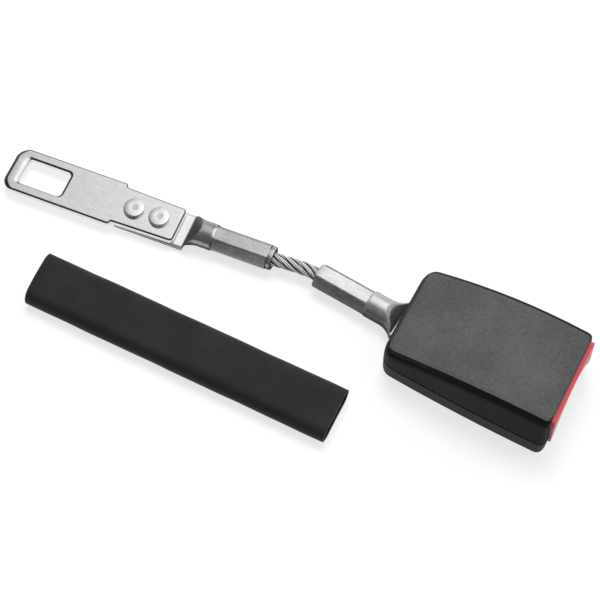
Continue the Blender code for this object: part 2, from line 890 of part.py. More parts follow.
def rope_path():
    """Points, headings and runs along the rope, a step apart, from the tongue's side."""
    step = 0.0019
    found = []
    count = round(ROPE_GRIP / step)
    for k in range(count):
        run = ROPE_GRIP * k / count
        found.append((along(tongue_tube_at, back_turn, run - ROPE_GRIP), back_turn, run))
    # Between the terminals the rope follows one smooth cubic from heading to heading.
    p0, p1 = Vector(tongue_tube_at), Vector(buckle_tube_at)
    d0 = Vector((math.cos(back_turn), math.sin(back_turn))) * ROPE_SPAN
    d1 = Vector((math.cos(ANCHOR_TURN), math.sin(ANCHOR_TURN))) * ROPE_SPAN
    run = ROPE_GRIP
    last = p0
    free = round(ROPE_SPAN / step)
    for k in range(free + 1):
        t = k / free
        p = p0 * (2 * t ** 3 - 3 * t ** 2 + 1) + d0 * (t ** 3 - 2 * t ** 2 + t)
        p += p1 * (3 * t ** 2 - 2 * t ** 3) + d1 * (t ** 3 - t ** 2)
        d = (p0 - p1) * (6 * t ** 2 - 6 * t) + d0 * (3 * t ** 2 - 4 * t + 1)
        d += d1 * (3 * t ** 2 - 2 * t)
        run += (p - last).length
        last = p
        found.append((tuple(p), math.atan2(d.y, d.x), run))
    for k in range(1, count + 1):
        past = ROPE_GRIP * k / count
        found.append((along(buckle_tube_at, ANCHOR_TURN, past), ANCHOR_TURN, run + past))
    return found


def rope_ring(at, turn, run):
    """The rope's lobed section, turned by the lay."""
    strand = ROPE_R / 3
    lay_r = ROPE_R - strand
    count = STRANDS * 6
    ring = []
    for i in range(count):
        a = 2 * math.pi * i / count
        off = (a + math.pi / STRANDS) % (2 * math.pi / STRANDS) - math.pi / STRANDS
        rest = max(strand ** 2 - (lay_r * math.sin(off)) ** 2, 0.0)
        radius = lay_r * math.cos(off) + math.sqrt(rest)
        b = a + 2 * math.pi * run / ROPE_LAY
        x, y = along(at, turn, 0.0, radius * math.cos(b))
        ring.append((x, y, axis_z + radius * math.sin(b)))
    return ring


piece("wire_rope", loft([rope_ring(*p) for p in rope_path()]), STEEL, 1.0, 0.35)

# Latch.
plate_half = guide_half - LATCH_SIDE_CLEAR
plate_low = PIVOT_Z - LATCH_T / 2
latch = piece(
    "latch",
    prism(circle(PIVOT_X, PIVOT_Z, LATCH_BARREL_R, 32), -plate_half, plate_half, "Y"),
    STEEL,
    1.0,
    0.36,
)
boolean(
    latch,
    box(PIVOT_X, HOOK_X + HOOK_LEN, -plate_half, plate_half, plate_low, latch_top_z),
    "plate",
    "UNION",
)
hook = [
    (HOOK_X, plate_low + LATCH_T / 2),
    (HOOK_X, base_z1 - HOOK_DIP),
    (HOOK_X + HOOK_LEN * 0.45, base_z1 - HOOK_DIP),
    (HOOK_X + HOOK_LEN, plate_low - LATCH_T),
    (HOOK_X + HOOK_LEN, plate_low + LATCH_T / 2),
]
boolean(latch, prism(hook, -hook_half, hook_half, "Y"), "hook", "UNION")
boolean(latch, prism(circle(LUG_X, PIVOT_Z, LUG_R, 20), -lug_half, lug_half, "Y"), "lugs", "UNION")
boolean(
    latch,
    prism(circle(PIVOT_X, PIVOT_Z, PIN_R + GAP, 24), -plate_half - EPS, plate_half + EPS, "Y"),
    "pin_hole",
)
piece(
    "latch_pivot_pin",
    prism(circle(PIVOT_X, PIVOT_Z, PIN_R, 24), -guide_outer - GAP, guide_outer + GAP, "Y"),
    BRIGHT_STEEL,
    1.0,
    0.3,
)

# Ejector.
ejector_x1 = HOOK_X - EJECTOR_TO_HOOK
ejector_x0 = ejector_x1 - EJECTOR_LEN
ejector_half = guide_half - LATCH_SIDE_CLEAR
ejector_z0 = base_z1 + GAP
ejector = piece(
    "ejector",
    box(ejector_x0, ejector_x1, -ejector_half, ejector_half, ejector_z0, ejector_z0 + EJECTOR_T),
    BLACK_PLASTIC,
    0.0,
    0.5,
)
boolean(
    ejector,
    box(
        ejector_x0 - EPS,
        ejector_x0 + EJECTOR_SLOT,
        -EJECTOR_slot_half,
        EJECTOR_slot_half,
        ejector_z0 - EPS,
        ejector_z0 + EJECTOR_T + EPS,
    ),
    "spring_slot",
)

# Release button: a hollow cap that slants forward at the foot, with a scooped face and two arms.
button_x0 = button_x1 - BUTTON_DEPTH
button = piece(
    "release_button",
    mouth_body(0.0, button_x0, button_x1, button_bottom_z),
    RED_PLASTIC,
    0.0,
    0.4,
)
cap_x0 = button_x1 - BUTTON_SET_BACK - BUTTON_CAP
boolean(
    button,
    mouth_body(-BUTTON_WALL, button_x0 - EPS, cap_x0, button_bottom_z + BUTTON_WALL),
    "hollow",
)
slant = [
    (button_x1, button_bottom_z),
    (button_x1 + 2 * EPS, button_bottom_z),
    (button_x1 + 2 * EPS, button_top_z + 2 * EPS),
    (button_x1 - BUTTON_SLANT, button_top_z + 2 * EPS),
    (button_x1 - BUTTON_SLANT, button_top_z),
]
boolean(button, prism(slant, -button_half - EPS, button_half + EPS, "Y"), "slant")
boolean(button, scoop_body(), "scoop")

# The ramps carry the latch's lugs up as the button slides in.
ramp_gap = (LUG_R + GAP) * math.sqrt(1 + RAMP_SLOPE ** 2)
ramp_z = PIVOT_Z - ramp_gap
arm_top_z = ramp_z + RAMP_SLOPE * BUTTON_TRAVEL + ARM_ABOVE
arm_end = cap_x0 + BUTTON_CAP / 2
arm = [
    (ARM_REAR, ARM_FOOT_Z),
    (ARM_FOOT_FRONT, ARM_FOOT_Z),
    (ARM_FOOT_FRONT + ARM_FOOT_RAMP, button_bottom_z + GAP),
    (arm_end, button_bottom_z + GAP),
    (arm_end, arm_top_z),
    (LUG_X + (arm_top_z - ramp_z) / RAMP_SLOPE, arm_top_z),
    (ARM_REAR, ramp_z + (ARM_REAR - LUG_X) * RAMP_SLOPE),
]
for side, name in ((1, "left"), (-1, "right")):
    y0, y1 = sorted((side * arm_inner, side * (arm_inner + ARM_T)))
    boolean(button, prism(arm, y0, y1, "Y"), f"arm_{name}", "UNION")


# Springs: coils of round wire.

def coil(name, start, end, radius, turns):
    """A compression spring between two points, as a tube of wire with closed ends."""
    start, end = Vector(start), Vector(end)
    axis = (end - start).normalized()
    side = axis.orthogonal().normalized()
    other = axis.cross(side)
    length = (end - start).length - SPRING_WIRE
    count = turns * 14
    data = bpy.data.curves.new(name, "CURVE")
    data.dimensions = "3D"
    data.bevel_depth = SPRING_WIRE / 2
    data.bevel_resolution = 1
    data.use_fill_caps = True
    spline = data.splines.new("POLY")
    spline.points.add(count)
    for i in range(count + 1):
        share = i / count
        a = 2 * math.pi * turns * share
        p = start + axis * (SPRING_WIRE / 2 + length * share)
        p += side * (radius * math.cos(a)) + other * (radius * math.sin(a))
        spline.points[i].co = (*p, 1.0)
    data.materials.append(material(name, SPRING_STEEL, 1.0, 0.35))
    obj = bpy.data.objects.new(name, data)
    parts.objects.link(obj)
    return obj


spring_y = arm_inner + ARM_T / 2 + BUTTON_SPRING_ASIDE
for side, name in ((1, "left"), (-1, "right")):
    coil(
        f"button_spring_{name}",
        (seat_x1 + GAP, side * spring_y, spring_z),
        (ARM_REAR - GAP, side * spring_y, spring_z),
        BUTTON_SPRING_R,
        BUTTON_SPRING_TURNS,
    )
coil(
    "latch_spring",
    (LATCH_SPRING_X, 0.0, latch_top_z + GAP),
    (LATCH_SPRING_X, 0.0, peg_z - GAP),
    LATCH_SPRING_R - SPRING_WIRE / 2,
    LATCH_SPRING_TURNS,
)
tab_front = along(buckle_tube_at, ANCHOR_TURN, buckle_tab_end)
coil(
    "ejector_spring",
    (tab_front[0] + GAP + EJECTOR_SPRING_OFF, 0.0, ejector_z0 + EJECTOR_T / 2),
    (ejector_x0 + EJECTOR_SLOT - GAP, 0.0, ejector_z0 + EJECTOR_T / 2),
    EJECTOR_SPRING_R,
    EJECTOR_SPRING_TURNS,
)


# Cover sleeve: a flattened rubber tube.

def flattened(width, height, count=10):
    """A section with flat faces and round sides, centred."""
    radius = height / 2
    run = width / 2 - radius
    ring = []
    for side, start in ((1, -math.pi / 2), (-1, math.pi / 2)):
        for k in range(count + 1):
            a = start + math.pi * k / count
            ring.append((side * run + radius * math.cos(a), radius * math.sin(a)))
    return ring


def sleeve_body(inset, reach):
    """The sleeve's section drawn in by an inset, along X."""
    ring = flattened(SLEEVE_WIDTH - 2 * inset, SLEEVE_H - 2 * inset)
    ring = [(y, z + SLEEVE_H / 2) for y, z in ring]
    return placed(prism(ring, -reach, reach, "X"), SLEEVE_AT, SLEEVE_TURN)


sleeve = piece("cover_sleeve", sleeve_body(0.0, SLEEVE_LEN / 2), RUBBER, 0.0, 0.6)
boolean(sleeve, sleeve_body(SLEEVE_WALL, SLEEVE_LEN / 2 + EPS), "bore")
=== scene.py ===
"""The seat belt extender dressed for its picture: finer steelwork, laid wires and surface detail.

Lengths are in metres, in the part's own frame: +X from the rope towards the release button, +Z up.
"""

import math

import bmesh
import bpy
from mathutils import Matrix, Vector


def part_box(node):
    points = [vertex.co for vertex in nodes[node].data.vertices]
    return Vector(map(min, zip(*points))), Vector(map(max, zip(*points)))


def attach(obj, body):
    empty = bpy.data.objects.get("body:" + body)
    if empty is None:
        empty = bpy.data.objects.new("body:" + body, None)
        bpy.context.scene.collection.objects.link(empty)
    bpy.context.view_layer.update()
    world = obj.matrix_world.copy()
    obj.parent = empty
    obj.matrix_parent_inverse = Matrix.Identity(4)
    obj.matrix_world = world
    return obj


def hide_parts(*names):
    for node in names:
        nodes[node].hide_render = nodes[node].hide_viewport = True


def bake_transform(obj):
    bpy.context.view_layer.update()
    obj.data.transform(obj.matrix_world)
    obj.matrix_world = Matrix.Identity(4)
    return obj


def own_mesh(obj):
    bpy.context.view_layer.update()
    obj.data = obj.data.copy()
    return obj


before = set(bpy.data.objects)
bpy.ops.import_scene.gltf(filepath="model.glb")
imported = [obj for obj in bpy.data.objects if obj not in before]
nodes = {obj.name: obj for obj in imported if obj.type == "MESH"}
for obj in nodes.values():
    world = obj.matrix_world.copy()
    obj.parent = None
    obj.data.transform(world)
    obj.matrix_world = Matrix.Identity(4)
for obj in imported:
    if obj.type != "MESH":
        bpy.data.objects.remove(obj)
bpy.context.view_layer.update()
scene = bpy.context.scene

# Camera.

TARGET = Vector((-0.0812, -0.0079, 0.0))
AZIMUTH = math.radians(28.2)
ELEVATION = math.radians(63.92)
DISTANCE = 0.600
VIEW_ANGLE = math.radians(23.95)
SENSOR = 36.0

camera_data = bpy.data.cameras.new("camera")
camera_data.sensor_width = SENSOR
camera_data.lens = SENSOR / 2 / math.tan(VIEW_ANGLE / 2)
camera_data.clip_start = 0.01
camera_data.clip_end = 50.0
camera = bpy.data.objects.new("camera", camera_data)
camera.location = TARGET + DISTANCE * Vector(
    (
        math.sin(AZIMUTH) * math.cos(ELEVATION),
        -math.cos(AZIMUTH) * math.cos(ELEVATION),
        math.sin(ELEVATION),
    )
)
camera.rotation_euler = (TARGET - camera.location).to_track_quat("-Z", "Y").to_euler()
scene.collection.objects.link(camera)
scene.camera = camera
scene.view_settings.view_transform = "Standard"


# Places.

def along(at, turn, distance, aside=0.0):
    """The point at a distance from another, in the plane of the floor."""
    c, s = math.cos(turn), math.sin(turn)
    return (at[0] + c * distance - s * aside, at[1] + s * distance + c * aside)


BACK_TURN = math.radians(6.4)      # the tongue and its terminal, about Z
ROPE_TURN = math.radians(6.2)      # from one rope end to the other
ANCHOR_TURN = math.radians(-4.0)   # the buckle's terminal
SLEEVE_TURN = math.radians(1.7)
AXIS_Z = 0.0060                    # height of the rope's axis
ROPE_R = 0.0030
ROPE_LAY = 0.0340
ROPE_SPAN = 0.0202
ROPE_GRIP = 0.0230
TUBE_R = 0.0059
HEX_FLATS = 0.0104
PLATE_Z0 = 0.0033
PLATE_Z1 = 0.0063
BUCKLE_TUBE_AT = along((-0.0270, 0.0), ANCHOR_TURN, -0.0518)
TONGUE_TUBE_AT = along(BUCKLE_TUBE_AT, ROPE_TURN, -ROPE_SPAN)
TONGUE_TIP_AT = along(TONGUE_TUBE_AT, BACK_TURN, -0.1252)
SLEEVE_AT = (-0.1126, -0.0511)


# Node helpers.

class Nodes:
    """A node tree and short ways to add to it."""

    def __init__(self, tree):
        self.tree = tree
        self.coords = None

    def node(self, kind, **values):
        made = self.tree.nodes.new(kind)
        for key, value in values.items():
            setattr(made, key, value)
        return made

    def feed(self, socket, value):
        """Link a socket to an output, or set it."""
        if isinstance(value, bpy.types.NodeSocket):
            self.tree.links.new(value, socket)
        elif isinstance(value, (tuple, list)) and len(value) == 3 and socket.type == "RGBA":
            socket.default_value = (*value, 1.0)
        else:
            socket.default_value = value

    def coordinate(self, output):
        if self.coords is None:
            self.coords = self.node("ShaderNodeTexCoord")
        return self.coords.outputs[output]

    def span(self, value, low, high, to_low=0.0, to_high=1.0, kind="LINEAR"):
        made = self.node("ShaderNodeMapRange", interpolation_type=kind)
        self.feed(made.inputs["Value"], value)
        made.inputs["From Min"].default_value = low
        made.inputs["From Max"].default_value = high
        made.inputs["To Min"].default_value = to_low
        made.inputs["To Max"].default_value = to_high
        return made.outputs["Result"]

    def math(self, operation, a, b=0.0):
        made = self.node("ShaderNodeMath", operation=operation)
        self.feed(made.inputs[0], a)
        self.feed(made.inputs[1], b)
        return made.outputs[0]

    def part(self, vector, axis):
        made = self.node("ShaderNodeSeparateXYZ")
        self.feed(made.inputs[0], vector)
        return made.outputs[axis]


class Paint(Nodes):
    """A surface material of procedural nodes."""

    def __init__(self, name):
        self.mat = bpy.data.materials.new(name)
        self.mat.use_nodes = True
        super().__init__(self.mat.node_tree)
        self.shader = self.tree.nodes["Principled BSDF"]

    def place(self, scale=(1.0, 1.0, 1.0), turn=0.0):
        mapping = self.node("ShaderNodeMapping")
        self.feed(mapping.inputs["Vector"], self.coordinate("Object"))
        mapping.inputs["Scale"].default_value = scale
        mapping.inputs["Rotation"].default_value = (0.0, 0.0, turn)
        return mapping.outputs["Vector"]

    def noise(self, scale, detail=3.0, rough=0.55, stretch=(1.0, 1.0, 1.0), turn=0.0, warp=0.0):
        made = self.node("ShaderNodeTexNoise")
        self.feed(made.inputs["Vector"], self.place(stretch, turn))
        made.inputs["Scale"].default_value = scale
        made.inputs["Detail"].default_value = detail
        made.inputs["Roughness"].default_value = rough
        made.inputs["Distortion"].default_value = warp
        return made.outputs["Fac"]

    def cells(self, scale):
        made = self.node("ShaderNodeTexVoronoi")
        self.feed(made.inputs["Vector"], self.place())
        made.inputs["Scale"].default_value = scale
        return made.outputs["Distance"]

    def mix(self, share, a, b):
        made = self.node("ShaderNodeMix", data_type="RGBA")
        self.feed(made.inputs["Factor"], share)
        self.feed(made.inputs["A"], a)
        self.feed(made.inputs["B"], b)
        return made.outputs["Result"]

    def bump(self, height, strength, distance, under=None):
        made = self.node("ShaderNodeBump")
        made.inputs["Strength"].default_value = strength
        made.inputs["Distance"].default_value = distance
        self.feed(made.inputs["Height"], height)
        if under is not None:
            self.feed(made.inputs["Normal"], under)
        return made.outputs["Normal"]

    def facing(self, axis):
        """How far the surface faces along one of the object's own axes, -1 to 1."""
        return self.part(self.coordinate("Normal"), axis)

    def height(self):
        """Height above the floor, as the pieces lie."""
        return self.part(self.place(), "Z")

    def reach(self, low, high, to_low=0.0, to_high=1.0):
        """A range of the number that keep_reach() leaves on a piece's points."""
        found = self.node("ShaderNodeAttribute", attribute_name="reach")
        return self.span(found.outputs["Fac"], low, high, to_low, to_high, "SMOOTHSTEP")

    def end(self, colour, rough, normal=None, metallic=0.0, **more):
        """Feed the shader; more names further sockets, with _ for a space, and sets them."""
        self.feed(self.shader.inputs["Base Color"], colour)
        self.feed(self.shader.inputs["Roughness"], rough)
        self.shader.inputs["Metallic"].default_value = metallic
        if normal is not None:
            self.feed(self.shader.inputs["Normal"], normal)
        for key, value in more.items():
            self.shader.inputs[key.replace("_", " ")].default_value = value
        return self.mat


def tone(colour, factor):
    return tuple(c * factor for c in colour)


# Materials.

def casing_material(name, light, dark, shaded_plain=None):
    """Moulded black plastic, spark-eroded to a fine grain; plain is the smoother colour beside a grained top,
    and its darkness there is painted shade.
    """
    p = Paint(name)
    broad = p.noise(38.0, 2.0, 0.5)
    grain = p.noise(1500.0, 3.0, 0.65)
    specks = p.noise(700.0, 2.0, 0.6)
    pits = p.cells(1300.0)
    colour = p.mix(p.span(broad, 0.36, 0.62), dark, light)
    colour = p.mix(p.span(grain, 0.42, 0.66, 0.0, 0.30), colour, tone(light, 1.6))
    colour = p.mix(p.span(specks, 0.50, 0.66, 0.0, 0.30), colour, tone(dark, 0.6))
    height = p.math("ADD", p.math("MULTIPLY", grain, 0.6), p.math("MULTIPLY", pits, 0.8))
    rough = p.span(broad, 0.3, 0.7, 0.56, 0.62)
    if shaded_plain is not None:
        # Painted shade: beside the grained top the far darker plain colour stands, and the top's colour runs
        # a little further down the rear edge than down the others.
        rear = p.math("MULTIPLY", p.math("MAXIMUM", p.math("MULTIPLY", p.facing("X"), -1.0), 0.0), 0.3)
        top = p.span(p.math("ADD", p.facing("Z"), rear), 0.84, 0.995, kind="SMOOTHSTEP")
        side = p.mix(p.span(grain, 0.40, 0.70, 0.0, 0.5), shaded_plain, tone(shaded_plain, 1.5))
        colour = p.mix(top, side, colour)
        height = p.math("MULTIPLY", height, p.math("ADD", p.math("MULTIPLY", top, 0.75), 0.25))
    return p.end(colour, rough, p.bump(height, 0.45, 0.00006), Specular_IOR_Level=0.12)


def button_material():
    """Red moulded plastic, slightly glossy."""
    p = Paint("button_red")
    broad = p.noise(70.0, 2.0, 0.5)
    grain = p.noise(1500.0, 3.0, 0.6)
    colour = p.mix(p.span(broad, 0.3, 0.7), (0.50, 0.040, 0.055), (0.60, 0.070, 0.085))
    colour = p.mix(p.span(grain, 0.3, 0.8, 0.0, 0.25), colour, (0.68, 0.13, 0.15))
    rough = p.span(grain, 0.3, 0.7, 0.30, 0.42)
    return p.end(colour, rough, p.bump(grain, 0.25, 0.00005), Specular_IOR_Level=0.5)


def steel_material(name, light, dark, rough, streak=(1.0, 1.0, 1.0), turn=0.0, depth=0.35, blot=160.0,
                   low=None, runout_shade_glint=None, rolled=None, slope=None, sides=None, hollow=None,
                   metal=1.0, tint=1.0):
    """Plated steel with blotches, fine draw lines and small pits, and painted shade and painted highlights
    where the options ask for them.

    light, dark  colours of the blotches, whose noise has the scale blot
    streak, turn, depth  stretch, heading and relief of the draw lines
    low     colour below the upper face of the tongue side's tab
    die     (way, colour) of painted shade or painted light on the crimp's run-outs that face +X or -X, with a painted highlight where they face up
    rolled  share of painted shade on the turned-down edges that reach marks
    slope   (way, low, high, share) of painted shade on the pressed slope that faces +X or -X
    sides   (low, high, share) of painted shade by how far the surface faces up, with more painted shade on faces turned down
    hollow  (low, high, share) of painted shade in hollows, by reach
    metal, tint  the shader's metallic and specular tint
    """
    p = Paint(name)
    cloud = p.noise(blot, 4.0, 0.6, warp=0.6)
    lines = p.noise(1100.0, 4.0, 0.7, streak, turn)
    pits = p.noise(3800.0, 2.0, 0.5)
    # The colour of the painted shade below.
    painted_shade = tone(dark, 0.10)
    colour = p.mix(p.span(cloud, 0.38, 0.64), dark, light)
    colour = p.mix(p.span(lines, 0.30, 0.72, 0.0, 0.45), colour, tone(dark, 0.74))
    colour = p.mix(p.span(pits, 0.62, 0.72, 0.0, 0.5), colour, tone(dark, 0.5))
    if low is not None:
        colour = p.mix(p.span(p.height(), 0.0032, 0.0042, 1.0, 0.0), colour, low)
    # Painted shade or painted light, by the colour given, on the crimp's run-outs, and a painted highlight
    # where they face up.
    if runout_shade_glint is not None:
        way, lower = runout_shade_glint
        towards = p.span(p.math("MULTIPLY", p.facing("X"), way), 0.30, 0.50)
        upper = p.span(p.facing("Z"), 0.45, 0.60)
        colour = p.mix(p.math("MULTIPLY", towards, p.math("SUBTRACT", 1.0, upper)), colour, lower)
        colour = p.mix(p.math("MULTIPLY", towards, upper), colour, (0.97, 0.97, 0.965))
    # Painted shade on the turned-down edges.
    if rolled is not None:
        above_side = p.span(p.facing("Z"), 0.16, 0.34)
        below_top = p.span(p.facing("Z"), 0.94, 0.995, 1.0, 0.0)
        band = p.math("MULTIPLY", p.math("MULTIPLY", above_side, below_top), p.reach(0.0, 1.0, 0.0, rolled))
        colour = p.mix(band, colour, tone(dark, 0.08))
    # Painted shade on the pressed slope.
    if slope is not None:
        way, start, full, share = slope
        towards = p.math("MULTIPLY", p.facing("X"), way)
        colour = p.mix(p.span(towards, start, full, 0.0, share, "SMOOTHSTEP"), colour, painted_shade)
    # Painted shade on the sides, and more of it on faces turned down.
    if sides is not None:
        start, full, share = sides
        colour = p.mix(p.span(p.facing("Z"), start, full, share, 0.0, "SMOOTHSTEP"), colour, painted_shade)
        colour = p.mix(p.span(p.facing("Z"), -0.05, 0.35, 0.85, 0.0, "SMOOTHSTEP"), colour, painted_shade)
    # Painted shade in hollows: between wires, and in a punch mark.
    if hollow is not None:
        start, full, share = hollow
        colour = p.mix(p.reach(start, full, share, 0.0), colour, tone(dark, 0.12))
    worn = p.span(cloud, 0.3, 0.7, rough - 0.05, rough + 0.05)
    roughness = p.math("ADD", worn, p.span(lines, 0.3, 0.7, -0.04, 0.06))
    normal = p.bump(lines, depth, 0.00004)
    normal = p.bump(cloud, depth * 0.8, 0.00012, normal)
    return p.end(colour, roughness, normal, metal, Specular_Tint=(tint, tint, tint, 1.0))


def sleeve_material():
    """Extruded black rubber with faint lengthwise lines and dust, paler where it is cut."""
    p = Paint("sleeve_black")
    lines = p.noise(900.0, 3.0, 0.6, (0.04, 1.0, 1.0), -SLEEVE_TURN)
    cloud = p.noise(60.0, 3.0, 0.6)
    dust = p.noise(2400.0, 2.0, 0.6)
    colour = p.mix(p.span(cloud, 0.35, 0.65), (0.015, 0.015, 0.0155), (0.021, 0.021, 0.0215))
    colour = p.mix(p.span(dust, 0.62, 0.75, 0.0, 0.3), colour, (0.04, 0.04, 0.04))
    cut = p.span(p.math("ABSOLUTE", p.facing("X")), 0.45, 0.85, kind="SMOOTHSTEP")
    colour = p.mix(cut, colour, (0.10, 0.10, 0.10))
    rough = p.span(lines, 0.3, 0.7, 0.58, 0.66)
    return p.end(colour, rough, p.bump(lines, 0.15, 0.00003), Specular_IOR_Level=0.3)


# The upper cover's sides and fillets take painted shade.
CASE_TOP = casing_material("casing_top", (0.112, 0.112, 0.113), (0.080, 0.080, 0.081), (0.007, 0.007, 0.0075))
CASE_LOW = casing_material("casing_low", (0.060, 0.060, 0.061), (0.050, 0.050, 0.051))
EJECT = casing_material("ejector_black", (0.050, 0.050, 0.052), (0.040, 0.040, 0.042))
BUTTON = button_material()
SLEEVE = sleeve_material()
# The plate takes painted shade on its rolled edges and window rim.
PLATE = steel_material(
    "tongue_plate_steel", (0.87, 0.87, 0.863), (0.78, 0.78, 0.773), 0.22,
    streak=(0.25, 1.0, 1.0), turn=-BACK_TURN, depth=0.22, rolled=0.85,
)
RIVET = steel_material("rivet_steel", (0.84, 0.84, 0.835), (0.70, 0.70, 0.695), 0.22, blot=420.0)
# The rivet head takes painted shade in its punch mark.
HEAD = steel_material(
    "rivet_head_steel", (0.95, 0.95, 0.945), (0.84, 0.84, 0.835), 0.22,
    blot=420.0, hollow=(0.9, 1.8, 0.26),
)
# The tongue's terminal takes painted shade on its sides, undersides, pressed slope and crimp run-outs, with a
# painted highlight where the run-outs face up.
TONGUE_TUBE = steel_material(
    "tongue_tube_steel", (0.60, 0.60, 0.60), (0.46, 0.46, 0.46), 0.28,
    streak=(0.06, 1.0, 1.0), turn=-BACK_TURN, depth=0.2,
    low=(0.90, 0.90, 0.895), runout_shade_glint=(1.0, (0.05, 0.05, 0.05)), slope=(-1.0, 0.35, 0.70, 0.66),
    sides=(0.30, 0.86, 0.20), metal=0.85, tint=0.35,
)
# The buckle's terminal takes painted shade on its sides, undersides and pressed slope, and painted light with
# a painted highlight on its crimp's run-outs.
BUCKLE_TUBE = steel_material(
    "buckle_tube_steel", (0.89, 0.89, 0.89), (0.71, 0.71, 0.71), 0.30,
    streak=(0.06, 1.0, 1.0), turn=-ANCHOR_TURN, depth=0.07, blot=190.0,
    runout_shade_glint=(-1.0, (0.80, 0.80, 0.80)), slope=(1.0, 0.02, 0.18, 0.60),
    sides=(0.30, 0.86, 0.98), metal=0.85, tint=0.35,
)
# The wires take painted shade between them and on their undersides.
WIRE = steel_material(
    "rope_wire_steel", (0.97, 0.97, 0.965), (0.88, 0.88, 0.88), 0.26,
    streak=(0.3, 1.0, 1.0), depth=0.2, blot=500.0,
    sides=(-0.20, 0.40, 0.40), hollow=(0.30, 0.95, 0.97), metal=0.45,
)
SHEET = steel_material(
    "frame_sheet_steel", (0.60, 0.60, 0.59), (0.50, 0.50, 0.49), 0.34, streak=(0.10, 1.0, 1.0),
)
SPRING = steel_material("spring_wire_steel", (0.40, 0.40, 0.41), (0.30, 0.30, 0.31), 0.32, blot=700.0)


# Mesh helpers.

def made(name, mesh, mat, body, slot, node, angle, even=False):
    """A finished piece in place of a CAD node; it rides on a body, if one is given."""
    mesh.name = name
    mesh.materials.append(mat)
    for face in mesh.polygons:
        face.use_smooth = True
    mesh.set_sharp_from_angle(angle=math.radians(angle))
    obj = bpy.data.objects.new(name, mesh)
    scene.collection.objects.link(obj)
    if even:
        weighted = obj.modifiers.new("even", "WEIGHTED_NORMAL")
        weighted.keep_sharp = True
    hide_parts(node)
    if body:
        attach(obj, body)
    return obj


def keep_reach(mesh, values):
    """Leave one number on each point, for the material to read."""
    mesh.attributes.new("reach", "FLOAT", "POINT").data.foreach_set("value", values)


def skin(bm, rows, closed=False):
    """Faces between rows of vertices, each row a closed loop in the same order."""
    pairs = list(zip(rows, rows[1:]))
    if closed:
        pairs.append((rows[-1], rows[0]))
    for a, b in pairs:
        for i in range(len(a)):
            j = (i + 1) % len(a)
            bm.faces.new((a[i], a[j], b[j], b[i]))


def finished(bm, name):
    bmesh.ops.recalc_face_normals(bm, faces=bm.faces)
    mesh = bpy.data.meshes.new(name)
    bm.to_mesh(mesh)
    bm.free()
    return mesh


def loft(rings, closed=False):
    """A skin through rings of points, capped, or closed from the last ring to the first."""
    bm = bmesh.new()
    rows = [[bm.verts.new(p) for p in ring] for ring in rings]
    skin(bm, rows, closed)
    if not closed:
        bm.faces.new(list(reversed(rows[0])))
        bm.faces.new(rows[-1])
    return finished(bm, "loft")


def settle(mesh, at, turn):
    """Move a mesh from its own axes to its place on the floor."""
    mesh.transform(Matrix.Translation((at[0], at[1], 0)) @ Matrix.Rotation(turn, 4, "Z"))
    return mesh


def circle(count, turn=0.0):
    """Directions round a circle."""
    step = 2 * math.pi / count
    return [(math.cos(turn + i * step), math.sin(turn + i * step)) for i in range(count)]


def quarter(count):
    """1 - cos and sin of the steps of a quarter turn, after its start: a rolled edge's drift and rise."""
    turns = [math.pi / 2 * k / count for k in range(1, count + 1)]
    return [(1 - math.cos(a), math.sin(a)) for a in turns]


def smoothstep(t):
    t = min(max(t, 0.0), 1.0)
    return t * t * (3 - 2 * t)


# Terminals.

RING = 144          # points round a terminal
MOUTH_GAP = 0.00012
MOUTH_DEPTH = 0.0060
MOUTH_EDGE = 0.0003
LIP_R = 0.0052
LIP_ROLL = 0.0007
CRIMP_STEPS = 8
RUN_OUT = 0.0009    # length over which the crimp's flats run out into the tube
PRESS_STEPS = 48
TAB_STEPS = 3
SEAM = 0.0005       # depth of the seam between the tab's two walls


def round_ring(radius, turn):
    return [(radius * c, radius * s) for c, s in circle(RING, turn)]


def crimped_ring(turn, grow=0.0):
    """The hexagonal crimp, each flat running out into the round tube as grow rises."""
    limit = TUBE_R - 0.00005
    soft = 0.00012
    ring = []
    for i, (c, s) in enumerate(circle(RING, turn)):
        off = (i * 2 * math.pi / RING) % (math.pi / 3) - math.pi / 6
        flat = (HEX_FLATS / 2 + grow) / math.cos(off)
        share = min(max((flat - limit) / soft + 0.5, 0.0), 1.0)
        radius = flat + (limit - flat) * share - soft * share * (1 - share) / 2
        ring.append((radius * c, radius * s))
    return ring


def flat_ring(half, z0, z1, seam):
    """The tube pressed flat: round sides with a seam between its two walls."""
    thick = (z1 - z0) / 2
    mid = (z1 + z0) / 2
    ring = []
    for i in range(RING):
        # Degrees from the nearer side; 30 of them go round it and the other 60 along a flat.
        a = 360.0 * i / RING
        a = a - 360 if a > 180 else a
        flip = 1 if abs(a) <= 90 else -1
        b = a if flip > 0 else math.copysign(180, a) - a
        if abs(b) <= 30:
            c = math.radians(3 * b)
            pinch = seam * max(1 - abs(b) / 6.0, 0.0)
            ring.append((flip * (half - thick + thick * math.cos(c) - pinch), mid + thick * math.sin(c)))
        else:
            share = (90 - abs(b)) / 60
            ring.append((flip * (half - thick) * share, mid + math.copysign(thick, b)))
    return ring


def soft_min(a, b, soft):
    """The smaller of two heights, rounded over where they are alike."""
    share = min(max(0.5 + 0.5 * (b - a) / soft, 0.0), 1.0)
    return b + (a - b) * share - soft * share * (1 - share)


def pressed_ring(share, turn, half, z0, z1, soft):
    """The tube between round (share 0) and flat (1): squeezed in height, then spread."""
    top = TUBE_R + soft * (1 - share) + (z1 - TUBE_R) * share
    bottom = -TUBE_R - soft * (1 - share) + (z0 + TUBE_R) * share
    spread = 1.0 + (half / TUBE_R - 1.0) * share ** 2
    late = smoothstep((share - 0.80) / 0.20)
    ring = []
    for (y, z), (flat_y, flat_z) in zip(round_ring(TUBE_R, turn), flat_ring(half, z0, z1, SEAM * share)):
        z = soft_min(z, top, soft)
        z = -soft_min(-z, -bottom, soft)
        y = y * spread
        ring.append((y + (flat_y - y) * late, z + (flat_z - z) * late))
    return ring


